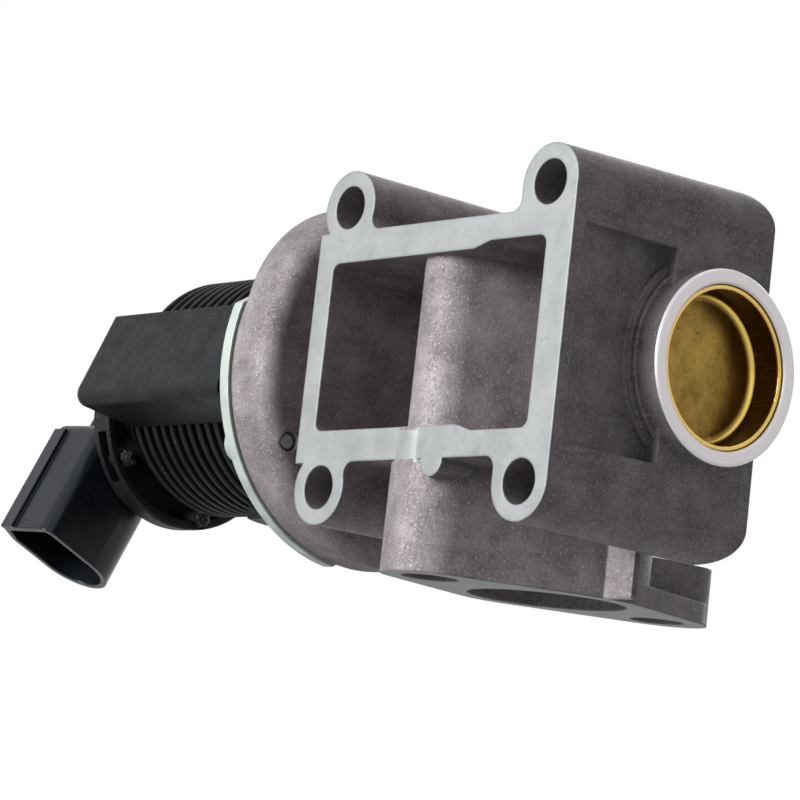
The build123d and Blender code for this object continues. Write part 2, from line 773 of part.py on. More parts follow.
with BuildPart() as connector_shell:
    with BuildSketch(shell_plane):
        add(shell_outline(0))
    extrude(amount=shell_length)
    outer_edges = edges().group_by(plug_axis)[0].sort_by(Axis(plug_centre, plug_out))
    fillet(outer_edges[-1], plug_root_r)
    # Raised latch rail along the flat side.
    with BuildSketch(shell_plane.offset(plug_root_r)):
        with Locations((plug_chamfer_x - plug_half_x + rail_width / 2, plug_half_e)):
            Rectangle(rail_width, 2 * rail_height)
    extrude(amount=shell_length - plug_root_r)
    # Socket for the harness plug.
    with BuildSketch(shell_plane.offset(shell_length)):
        add(shell_outline(plug_shell_wall))
    extrude(amount=-plug_socket_depth, mode=Mode.SUBTRACT)
    # The root wraps the domed cap and stands against the rim.
    tube(cap_rear_x, rim_rear_x, cap_r, 0, mode=Mode.SUBTRACT)
    with BuildSketch(Plane.YZ.offset(rim_rear_x)):
        with Locations((rim_y, rim_shift_z)):
            Circle(rim_r)
    extrude(amount=rim_thick, mode=Mode.SUBTRACT)
connector_shell.part.label = "connector_shell"

with BuildPart() as connector_pins:
    with BuildSketch(shell_plane.offset(shell_length - plug_socket_depth)):
        with GridLocations(pin_width, pin_pitch, 1, pin_count):
            Rectangle(pin_thick, pin_width)
    extrude(amount=pin_length)
connector_pins.part.label = "connector_pins"

# ---- terminal box ----
box_front_x = plate_rear_x - box_front_gap
box_plane = Plane(origin=(box_rear_x, axis_y, 0), x_dir=box_out, z_dir=(1, 0, 0))
drop_sign = 1 if box_plane.y_dir.dot(box_down) > 0 else -1
with BuildPart() as terminal_box:
    with BuildSketch(box_plane):
        with BuildLine():
            Polyline(
                (fin_crest_r * 0.4, drop_sign * box_top),
                (box_reach, drop_sign * box_top),
                (box_reach, drop_sign * box_drop),
                (fin_crest_r * 0.62, drop_sign * box_inner_drop),
                (fin_crest_r * 0.4, drop_sign * box_inner_drop * 0.8),
                close=True)
        make_face()
    extrude(amount=box_front_x - box_rear_x)
    lower_rear = edges().filter_by_position(Axis.X, box_rear_x - 0.1, box_rear_x + 0.1).sort_by(Axis.Z)
    fillet(lower_rear[1], box_corner_r)
    long_edges = edges().filter_by(Axis.X).sort_by_distance(
        Vector(box_front_x, axis_y, 0) + box_out * box_reach + box_down * box_drop)
    fillet(long_edges[0], box_edge_r)
    tube(box_rear_x - 1, box_front_x + 1, fin_crest_r + 0.05, 0, mode=Mode.SUBTRACT)
terminal_box.part.label = "terminal_box"

# ---- files ----
pieces = [
    valve_housing, core_plug, valve_seat, guide_bush, stem_scraper, valve_stem, poppet_disc,
    return_spring, spring_retainer, retainer_clip, flange_gasket, mounting_plate, plate_screws,
    solenoid_casing, yoke_tube, pole_piece, armature_sleeve, coil_bobbin, coil_winding,
    flux_washer, armature, end_cap, cap_stakes, sensor_plunger, sensor_guide, sensor_track,
    sensor_spring, connector_shell, connector_pins, terminal_box]
os.makedirs("parts", exist_ok=True)
for piece in pieces:
    export_step(piece.part, "parts/" + piece.part.label + ".step")
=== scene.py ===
"""Looks for an exhaust gas recirculation valve: cast housing, brass plug, zinc plate and moulded solenoid.

Metres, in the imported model's own frame.  The origin is the centre of the four manifold bolts, -Y leaves the
machined face, +X runs along the valve axis towards the brass plug, and +Z points away from the gas flange.
"""
import json
import logging
import math
from dataclasses import dataclass, field
from enum import Enum

import bmesh
import bpy
import numpy as np
from mathutils import Matrix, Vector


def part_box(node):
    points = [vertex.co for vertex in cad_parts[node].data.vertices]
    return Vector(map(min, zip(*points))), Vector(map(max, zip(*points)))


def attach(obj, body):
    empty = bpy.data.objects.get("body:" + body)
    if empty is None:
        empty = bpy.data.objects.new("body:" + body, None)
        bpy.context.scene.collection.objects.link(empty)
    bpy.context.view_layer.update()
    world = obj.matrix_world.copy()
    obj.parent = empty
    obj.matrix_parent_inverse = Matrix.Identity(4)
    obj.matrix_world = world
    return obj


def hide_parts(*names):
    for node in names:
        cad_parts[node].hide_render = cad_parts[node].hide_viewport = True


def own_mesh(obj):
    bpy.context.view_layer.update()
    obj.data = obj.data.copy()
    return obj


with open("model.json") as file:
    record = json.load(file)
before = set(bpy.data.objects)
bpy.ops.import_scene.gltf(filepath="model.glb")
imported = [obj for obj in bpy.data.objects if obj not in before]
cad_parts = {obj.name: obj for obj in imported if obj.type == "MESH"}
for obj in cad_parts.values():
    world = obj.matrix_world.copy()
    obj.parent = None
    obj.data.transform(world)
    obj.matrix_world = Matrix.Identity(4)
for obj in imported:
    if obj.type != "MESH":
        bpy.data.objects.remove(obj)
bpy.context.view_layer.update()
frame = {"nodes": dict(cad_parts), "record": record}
MOUNTS = {mount["name"]: mount for mount in frame["record"]["mounts"]}
MM = 0.001
# What an input takes: a plain value or colour, another node's output, or a node for its first output in use.
Source = bpy.types.Node | bpy.types.NodeSocket
Value = float | Source
Colour = tuple[float, float, float, float] | Source
log = logging.getLogger("egr_valve")


# ---------------------------------------------------------------- colours and nodes
def srgb(code: str) -> tuple[float, float, float, float]:
    """Turn an sRGB hex colour into the linear colour that shaders take.

    Each channel c in 0..1 becomes c / 12.92 below 0.04045 and ((c + 0.055) / 1.055) ** 2.4 above it.

    Args:
        code: six hex digits after a hash sign.

    Returns:
        Linear red, green and blue, and an alpha of 1.
    """
    channels = [int(code[i:i + 2], 16) / 255 for i in (1, 3, 5)]
    linear = [c / 12.92 if c <= 0.04045 else ((c + 0.055) / 1.055) ** 2.4 for c in channels]
    return linear[0], linear[1], linear[2], 1.0


def feed(tree: bpy.types.NodeTree, node: bpy.types.Node, inputs: dict[str | int, Value | Colour]) -> None:
    """Set a node's inputs, or link them.

    Args:
        tree: the node tree.
        node: the node that takes them.
        inputs: socket name or number to a plain value, or to a socket or a node to link from.
    """
    for key, value in inputs.items():
        if isinstance(value, bpy.types.Node):
            value = next(output for output in value.outputs if output.enabled)
        if isinstance(value, bpy.types.NodeSocket):
            tree.links.new(value, node.inputs[key])
        else:
            node.inputs[key].default_value = value


def add(tree: bpy.types.NodeTree, kind: str, inputs: dict | tuple = (), stops: tuple = (),
        **settings: object) -> bpy.types.Node:
    """Add one shader node with its settings, values and links.

    Args:
        tree: the node tree that takes the node.
        kind: the node's class, without its ShaderNode prefix.
        inputs: what its inputs take, by name or number, or in order from the first.
        stops: position and hex colour of each stop of a colour ramp, in order.
        **settings: properties of the node itself.

    Returns:
        The new node.
    """
    node = tree.nodes.new("ShaderNode" + kind)
    for name, value in settings.items():
        setattr(node, name, value)
    feed(tree, node, inputs if isinstance(inputs, dict) else dict(enumerate(inputs)))
    elements = node.color_ramp.elements if stops else ()
    while len(elements) < len(stops):
        elements.new(0.5)
    for element, (place, code) in zip(elements, stops):
        element.position = place
        element.color = srgb(code)
    return node


def lumps(coords: Source, size_mm: float, detail: float, rough: float) -> dict[str, Value]:
    """What the inputs of a noise take, so that its lumps have a real size.

    Args:
        coords: the coordinates it reads, in metres.
        size_mm: width of one lump.
        detail: octaves.
        rough: strength of each finer octave.

    Returns:
        Input names and their values.
    """
    return {"Vector": coords, "Scale": 1 / (size_mm * MM), "Detail": detail, "Roughness": rough}


@dataclass(frozen=True)
class Overlay:
    """A colour laid over another where a pattern goes past start, up to share of it at full."""

    colour: str
    start: float
    full: float
    share: float

    def lay(self, tree: bpy.types.NodeTree, pattern: Source, under: Colour) -> bpy.types.Node:
        """Lay the colour over the one under it.

        Args:
            tree: the node tree.
            pattern: the pattern that says where it lies.
            under: the colour under it.

        Returns:
            The mix of both.
        """
        mask = add(tree, "MapRange", (pattern, self.start, self.full, 0.0, self.share),
                   interpolation_type="SMOOTHSTEP")
        return add(tree, "Mix", {0: mask, 6: under, 7: srgb(self.colour)}, data_type="RGBA")


class Base:
    """What every finish shares: a named material, its principled shader and its object coordinates."""

    name: str

    def start(self) -> tuple[bpy.types.Material, bpy.types.NodeTree, bpy.types.Node, bpy.types.NodeSocket]:
        """Make an empty material.

        Returns:
            The material, its tree, its principled shader and its Object coordinates.
        """
        material = bpy.data.materials.new(self.name)
        material.use_nodes = True
        tree = material.node_tree
        tree.nodes.clear()
        shader = add(tree, "BsdfPrincipled")
        add(tree, "OutputMaterial", {"Surface": shader})
        return material, tree, shader, add(tree, "TexCoord").outputs["Object"]

    def relief(self, tree: bpy.types.NodeTree, shader: bpy.types.Node, height: Source,
               depth_mm: float, strength: float = 1.0, edge_mm: float = 0.0) -> None:
        """Give the shader a bump of a real depth on softened edges.

        Args:
            tree: the node tree.
            shader: the principled shader.
            height: the pattern, 0 to 1.
            depth_mm: height of the pattern.
            strength: how much of it shows.
            edge_mm: radius that edges are softened by, or 0.
        """
        bump = add(tree, "Bump", {"Height": height, "Distance": depth_mm * MM, "Strength": strength})
        if edge_mm > 0:
            feed(tree, bump, {"Normal": add(tree, "Bevel", {"Radius": edge_mm * MM}, samples=6)})
        feed(tree, shader, {"Normal": bump})


# ---------------------------------------------------------------- finishes
@dataclass(frozen=True)
class CastAluminium(Base):
    """Shot-blasted aluminium casting: a mauve-grey skin with bright flecks and painted glints, and milled
    joint faces.
    """

    name: str = "cast_aluminium"
    skin: str = "#7b7578"
    shade: str = "#666061"
    light: str = "#918b8e"
    milled: str = "#8f9293"
    milled_cloud: str = "#818485"
    turned: str = "#dedbdd"
    # The grit and the flecks are drawn coarser than real shot marks, which are too fine to show from here.
    smear: Overlay = Overlay("#564f4c", 0.50, 0.72, 0.50)
    # Painted glint: a lighter colour on the grit pattern that stands in for light caught by the blasted
    # facets.
    peening_and_glint: Overlay = Overlay("#918b8e", 0.50, 0.72, 0.50)
    pit: Overlay = Overlay("#544f51", 0.46, 0.26, 0.50)
    fleck: Overlay = Overlay("#beb8bb", 0.60, 0.76, 0.60)
    milled_stain: Overlay = Overlay("#686a6a", 0.54, 0.70, 0.35)
    milled_pit: Overlay = Overlay("#7b7578", 0.42, 0.24, 0.30)
    cast_metallic: float = 0.3
    turned_metallic: float = 0.8
    specular: float = 0.25
    rough_cast: tuple[float, float] = (0.74, 0.58)
    rough_cut: float = 0.52
    peening_mm: float = 0.08
    cutter_height: float = 0.06
    smear_stretch: float = 0.22
    blotch_mm: float = 9.0
    grit_mm: float = 0.55
    fleck_mm: float = 0.40
    smear_mm: float = 3.0
    cutter_mm: float = 0.5
    edge_mm: float = 0.8
    # Where the machined faces lie: a pair is a middle and half a width.
    slack_mm: float = 0.12
    frame_half_mm: float = 24.6
    lug_start_mm: float = 20.5
    tab_mm: tuple[float, float] = (4.3, 3.7)
    bar_mm: tuple[float, float] = (-21.05, 2.9)
    crest_mm: tuple[float, float] = (-0.2, 0.33)
    stub_break_mm: float = 0.4

    def cut_faces(self, tree: bpy.types.NodeTree,
                  coords: bpy.types.NodeSocket) -> tuple[bpy.types.Node, bpy.types.Node]:
        """Where the casting is machined: the manifold and gas faces, the flange's back and the stub's end.

        A face is the thin layer of points within the slack of its plane.  The manifold face is the frame
        round the window, the tab below it and the four lugs beyond it.  The column of the near gas bolt,
        between the lower lugs, comes as far out.  Its crest is dressed only where it crosses the lower bar.

        Args:
            tree: the node tree.
            coords: Object coordinates.

        Returns:
            Two masks: 1 on a milled face, and 1 on the stub's turned end.
        """
        slack = self.slack_mm * MM
        low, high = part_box("valve_housing")
        place = add(tree, "SeparateXYZ", (coords,)).outputs
        plane, gas_face, back, tab, bar, crest = (
            add(tree, "Math", (place[axis], middle, half), operation="COMPARE") for axis, middle, half in (
                ("Y", MOUNTS["manifold_face"]["pos_m"][1], slack),
                ("Z", MOUNTS["gas_face"]["pos_m"][2], slack),
                ("X", float(low[0]), slack),
                ("X", self.tab_mm[0] * MM, self.tab_mm[1] * MM),
                ("Z", self.bar_mm[0] * MM, self.bar_mm[1] * MM),
                ("Y", self.crest_mm[0] * MM, self.crest_mm[1] * MM)))
        aside, above = (add(tree, "Math", (place[axis],), operation="ABSOLUTE") for axis in "XZ")
        in_frame = add(tree, "Math", (above, self.frame_half_mm * MM), operation="LESS_THAN")
        at_lugs = add(tree, "Math", (aside, self.lug_start_mm * MM), operation="GREATER_THAN")
        spread = add(tree, "Math", (at_lugs, tab), operation="MAXIMUM")
        spread = add(tree, "Math", (in_frame, spread), operation="MAXIMUM")
        milled = add(tree, "Math", (plane, spread), operation="MULTIPLY")
        crest = add(tree, "Math", (crest, bar), operation="MULTIPLY")
        for face in (crest, gas_face, back):
            milled = add(tree, "Math", (milled, face), operation="MAXIMUM")
        ring_start = float(high[0]) - slack - self.stub_break_mm * MM
        ring = add(tree, "Math", (place["X"], ring_start), operation="GREATER_THAN")
        return milled, ring

    def make(self) -> bpy.types.Material:
        """Build the material: clouds, smears, shot-blast grit with painted glints and flecks, under the
        machined faces' mask.

        Returns:
            The finished material.
        """
        material, tree, shader, coords = self.start()
        blotch = add(tree, "TexNoise", lumps(coords, self.blotch_mm, 5.0, 0.6))
        grit = add(tree, "TexNoise", lumps(coords, self.grit_mm, 3.0, 0.65))
        along = add(tree, "Mapping", {"Vector": coords, "Scale": (1.0, self.smear_stretch, 1.0)})
        smears = add(tree, "TexNoise", lumps(along, self.smear_mm, 4.0, 0.7))
        flecks = add(tree, "TexNoise", lumps(coords, self.fleck_mm, 1.0, 0.5))
        skin = add(tree, "ValToRGB", (blotch,),
                   ((0.30, self.shade), (0.50, self.skin), (0.72, self.light)))
        # Over the skin: stains, a painted glint on the grit, pits and flecks.
        for overlay, pattern in ((self.smear, smears), (self.peening_and_glint, grit), (self.pit, grit),
                                 (self.fleck, flecks)):
            skin = overlay.lay(tree, pattern, skin)
        milled, ring = self.cut_faces(tree, coords)
        cut = add(tree, "Math", (milled, ring), operation="MAXIMUM")
        cut_colour = add(tree, "ValToRGB", (blotch,), ((0.32, self.milled_cloud), (0.60, self.milled)))
        for overlay, pattern in ((self.milled_stain, smears), (self.milled_pit, grit)):
            cut_colour = overlay.lay(tree, pattern, cut_colour)
        cut_colour = add(tree, "Mix", {0: ring, 6: cut_colour, 7: srgb(self.turned)}, data_type="RGBA")
        rough = add(tree, "MapRange", (grit, 0.3, 0.7, *self.rough_cast), interpolation_type="SMOOTHSTEP")
        feed(tree, shader, {
            "Base Color": add(tree, "Mix", {0: cut, 6: skin, 7: cut_colour}, data_type="RGBA"),
            "Metallic": add(tree, "Mix", {0: ring, 2: self.cast_metallic, 3: self.turned_metallic}),
            "Specular IOR Level": self.specular,
            "Roughness": add(tree, "Mix", {0: cut, 2: rough, 3: self.rough_cut})})
        # The cutter's lines on the milled faces are drawn coarser than real ones.  A wave texture goes round
        # once per 2 pi / 20 of its scaled coordinate.
        lines = add(tree, "TexWave", {"Vector": coords, "Scale": math.pi / (10 * self.cutter_mm * MM),
                                      "Distortion": 0.8, "Detail": 1.0}, bands_direction="DIAGONAL")
        lines = add(tree, "Math", (lines.outputs["Fac"], self.cutter_height), operation="MULTIPLY")
        peening_and_glint = add(tree, "Math", (flecks, 0.6, grit), operation="MULTIPLY_ADD")
        height = add(tree, "Mix", {0: cut, 2: peening_and_glint, 3: lines})
        self.relief(tree, shader, height, self.peening_mm, 0.75, self.edge_mm)
        return material


@dataclass(frozen=True)
class Metal(Base):
    """A machined, plated or pressed metal with a fine grain and a slight tarnish in clouds."""

    name: str
    colour: str
    tarnish: str
    roughness: float = 0.3
    cloud_mm: float = 5.0
    grain_mm: float = 0.25
    depth_mm: float = 0.02
    edge_mm: float = 0.25
    metallic: float = 1.0

    def make(self) -> bpy.types.Material:
        """Build the material: tarnish lies in clouds, and roughness follows it.

        Returns:
            The finished material.
        """
        material, tree, shader, coords = self.start()
        cloud = add(tree, "TexNoise", lumps(coords, self.cloud_mm, 4.0, 0.6))
        fine = add(tree, "TexNoise", lumps(coords, self.grain_mm, 2.0, 0.6))
        colour = add(tree, "ValToRGB", (cloud,), ((0.35, self.tarnish), (0.62, self.colour)))
        rough = add(tree, "MapRange", (cloud, 0.3, 0.7, self.roughness + 0.12, self.roughness - 0.04),
                    interpolation_type="SMOOTHSTEP")
        feed(tree, shader, {"Base Color": Overlay(self.tarnish, 0.62, 0.75, 0.3).lay(tree, fine, colour),
                            "Metallic": self.metallic, "Roughness": rough})
        self.relief(tree, shader, fine, self.depth_mm, 0.6, self.edge_mm)
        return material


@dataclass(frozen=True)
class DrawnBrass(Base):
    """Pressed brass cup: a bright rolled rim, a drawn inner side in painted shade, a tarnished olive floor
    with spots, and a painted highlight round its corner.
    """

    name: str = "plug_brass"
    rim: str = "#d8b45e"
    # Painted shade: the cup's inner side is darkened in place of its own shadow and the dark it reflects.
    shaded_wall: str = "#4c3812"
    floor: str = "#93783c"
    floor_dark: str = "#6b5122"
    # Painted highlight: a bright golden band round the cup's corner in place of the lamps' reflection.
    fillet_highlight: str = "#f0cf62"
    mottle: Overlay = Overlay("#6b5122", 0.52, 0.72, 0.4)
    spot: Overlay = Overlay("#3a2810", 0.66, 0.74, 0.8)
    scratch: Overlay = Overlay("#6b5122", 0.45, 0.8, 1.0)
    # How much of the painted highlight in the corner shows at most.
    highlight_share: float = 0.8
    rough_floor: float = 0.22
    rough_wall: float = 0.17
    cup_wall_mm: float = 1.0
    corner_mm: float = 1.8
    rim_mm: tuple[float, float] = (0.7, 0.25)
    cloud_mm: float = 6.0
    spot_mm: float = 1.3
    fine_mm: float = 0.35
    scratch_mm: float = 0.5
    scratch_stretch: float = 0.08
    depth_mm: float = 0.04
    edge_mm: float = 0.25

    def make(self) -> bpy.types.Material:
        """Build the material: the cup's rim, its inner side in painted shade, the painted highlight in its
        corner and its floor are told apart by depth along X.

        Returns:
            The finished material.
        """
        material, tree, shader, coords = self.start()
        low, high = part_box("core_plug")
        mouth, floor = float(high[0]), float(low[0]) + self.cup_wall_mm * MM
        depth = add(tree, "SeparateXYZ", (coords,)).outputs["X"]
        cloud = add(tree, "TexNoise", lumps(coords, self.cloud_mm, 5.0, 0.65))
        spots = add(tree, "TexNoise", lumps(coords, self.spot_mm, 2.0, 0.6))
        fine = add(tree, "TexNoise", lumps(coords, self.fine_mm, 3.0, 0.7))
        drawn = add(tree, "Mapping", {"Vector": coords, "Scale": (self.scratch_stretch, 1.0, 1.0)})
        scratches = add(tree, "TexNoise", lumps(drawn, self.scratch_mm, 2.0, 0.6))
        tarnish = add(tree, "ValToRGB", (cloud,), ((0.32, self.floor_dark), (0.66, self.floor)))
        tarnish = self.spot.lay(tree, spots, self.mottle.lay(tree, fine, tarnish))
        # The inner side's painted shade, with scratches drawn along it.
        shaded_wall = self.scratch.lay(tree, scratches, srgb(self.shaded_wall))
        # Heights over the floor are shares of the radius in the cup's corner. There a painted highlight, a
        # bright golden band, stands in for the lamps' reflection.
        corner = self.corner_mm * MM
        above_floor, fillet_start, fillet_end = (
            add(tree, "MapRange", (depth, floor + start * corner, floor + end * corner),
                interpolation_type="SMOOTHSTEP") for start, end in ((0.05, 0.5), (0.05, 0.25), (0.60, 0.35)))
        fillet_highlight = add(tree, "Math", (fillet_start, fillet_end), operation="MULTIPLY")
        fillet_highlight = add(tree, "Math", (fillet_highlight, self.highlight_share), operation="MULTIPLY")
        rolled = add(tree, "MapRange", (depth, mouth - self.rim_mm[0] * MM, mouth - self.rim_mm[1] * MM),
                     interpolation_type="SMOOTHSTEP")
        colour = tarnish
        # Laid over the floor in turn: the painted shade of the inner side, the painted highlight of the
        # corner and the rolled rim.
        for mask, over in ((above_floor, shaded_wall), (fillet_highlight, srgb(self.fillet_highlight)), (rolled, srgb(self.rim))):
            colour = add(tree, "Mix", {0: mask, 6: colour, 7: over}, data_type="RGBA")
        rough = add(tree, "Mix", {0: above_floor, 2: self.rough_floor, 3: self.rough_wall})
        feed(tree, shader, {"Base Color": colour, "Metallic": 1.0, "Roughness": rough})
        height = add(tree, "Math", (spots, 0.5, fine), operation="MULTIPLY_ADD")
        self.relief(tree, shader, height, self.depth_mm, 0.7, self.edge_mm)
        return material


@dataclass(frozen=True)
class Moulding(Base):
    """Glass-filled nylon as moulded: black, with a spark-eroded grain, pale dust and rubbed clouds."""

    name: str
    colour: str
    rubbed: str
    roughness: float = 0.5
    gloss: float = 0.25
    grain_mm: float = 0.45
    depth_mm: float = 0.05
    edge_mm: float = 0.5
    fleck: str = "#6a6c70"
    flecks: float = 0.0
    cloud_mm: float = 7.0
    dust_mm: float = 0.5
    ior: float = 1.53

    def make(self) -> bpy.types.Material:
        """Build the material: a two-scale grain over a cloudy colour.

        Returns:
            The finished material.
        """
        material, tree, shader, coords = self.start()
        cloud = add(tree, "TexNoise", lumps(coords, self.cloud_mm, 4.0, 0.65))
        fine = add(tree, "TexNoise", lumps(coords, self.grain_mm, 3.0, 0.7))
        dust = add(tree, "TexNoise", lumps(coords, self.dust_mm, 2.0, 0.6))
        mixed = add(tree, "Math", (cloud, 0.5), operation="MULTIPLY")
        mixed = add(tree, "Math", (fine, 0.5, mixed), operation="MULTIPLY_ADD")
        colour = add(tree, "ValToRGB", (mixed,), ((0.38, self.colour), (0.66, self.rubbed)))
        rough = add(tree, "MapRange", (cloud, 0.3, 0.7, self.roughness + 0.08, self.roughness - 0.06),
                    interpolation_type="SMOOTHSTEP")
        feed(tree, shader, {
            "Base Color": Overlay(self.fleck, 0.66, 0.76, self.flecks).lay(tree, dust, colour),
            "IOR": self.ior, "Specular IOR Level": self.gloss, "Roughness": rough})
        self.relief(tree, shader, fine, self.depth_mm, 0.7, self.edge_mm)
        return material


@dataclass(frozen=True)
class WoundWire(Base):
    """Enamelled copper wire wound in layers: amber rings one wire apart along the coil."""

    name: str = "coil_wire"
    colour: str = "#a5602c"
    groove: str = "#4a2210"
    wire_mm: float = 0.5
    depth_mm: float = 0.2
    metallic: float = 0.6
    roughness: float = 0.3

    def make(self) -> bpy.types.Material:
        """Build the material: a wave along X whose period is one wire.

        Returns:
            The finished material.
        """
        material, tree, shader, coords = self.start()
        wave = add(tree, "TexWave", {"Vector": coords, "Scale": math.pi / (10 * self.wire_mm * MM)},
                   bands_direction="X").outputs["Fac"]
        colour = add(tree, "ValToRGB", (wave,), ((0.1, self.groove), (0.5, self.colour)))
        feed(tree, shader, {"Base Color": colour, "Metallic": self.metallic, "Roughness": self.roughness})
        self.relief(tree, shader, wave, self.depth_mm)
        return material


class Slot(Enum):
    """The record's material slots."""

    CAST = "cast_aluminium"
    ZINC = "zinc_plate"
    STEEL = "machined_steel"
    DARK_STEEL = "dark_steel"
    BRASS = "plug_brass"
    MOULDING = "black_moulding"
    GLOSS = "black_gloss"
    COIL = "coil_wire"
    BOBBIN = "bobbin_plastic"
    GASKET = "gasket_sheet"
    BOARD = "sensor_board"
    PIN = "pin_metal"


FINISHES: dict[Slot, Base] = {
    # Aluminium as cast and shot-blasted: a mauve grey that breaks up the light, beside pale milled faces.
    Slot.CAST: CastAluminium(),
    # Zinc plating over pressed steel: pale and slightly green, with soft grey clouds.
    Slot.ZINC: Metal("zinc_plate", "#b2bab5", "#9ca59f", 0.42, 6.0, 0.35, 0.02, 0.5, 0.3),
    # Turned and ground steel: neutral grey with a fine sheen.
    Slot.STEEL: Metal("machined_steel", "#b9b9bb", "#96969a", 0.24),
    # Blued and heat-stained steel: dull brown-grey.
    Slot.DARK_STEEL: Metal("dark_steel", "#6a6a6c", "#4a4644", 0.36),
    # Pressed brass gone brown: its rolled rim stays golden, its inner side is painted shade and its corner
    # carries a painted highlight.
    Slot.BRASS: DrawnBrass(),
    # Glass-filled nylon with a matt spark-eroded skin that holds pale dust, its grain coarser than real.
    Slot.MOULDING: Moulding("black_moulding", "#0d0e10", "#1e1f22", 0.46, 0.13, 0.6, 0.10, flecks=0.7),
    # The same nylon from a polished cavity: blue-black, with long soft highlights.
    Slot.GLOSS: Moulding("black_gloss", "#0b0e12", "#171c23", 0.24, 0.26, 0.5, 0.012, 0.5),
    # Enamelled copper wire: amber rings with dark grooves, drawn coarser than the real wire.
    Slot.COIL: WoundWire(),
    # Unfilled bobbin nylon: warm dark grey.
    Slot.BOBBIN: Moulding("bobbin_plastic", "#2f2c28", "#46423c", 0.45),
    # Fibre gasket sheet: dull graphite grey.
    Slot.GASKET: Moulding("gasket_sheet", "#2c2c2c", "#4a4a48", 0.8, 0.2, 0.3, 0.04, 0.1),
    # Printed resistance track on green board.
    Slot.BOARD: Moulding("sensor_board", "#1f4a30", "#2f6a44", 0.35, 0.3, 0.6, 0.01, 0.1),
    # Tin-plated brass blades: bright and soft-edged.
    Slot.PIN: Metal("pin_metal", "#d5d4cf", "#b5b3ac", 0.2, 2.0, 0.2, 0.01, 0.1),
}


# ---------------------------------------------------------------- camera and studio
@dataclass(frozen=True)
class Lamp:
    """A square soft lamp: where it stands and its side, in metres, and its share of the key's power."""

    name: str
    place: tuple[float, float, float]
    size: float
    share: float


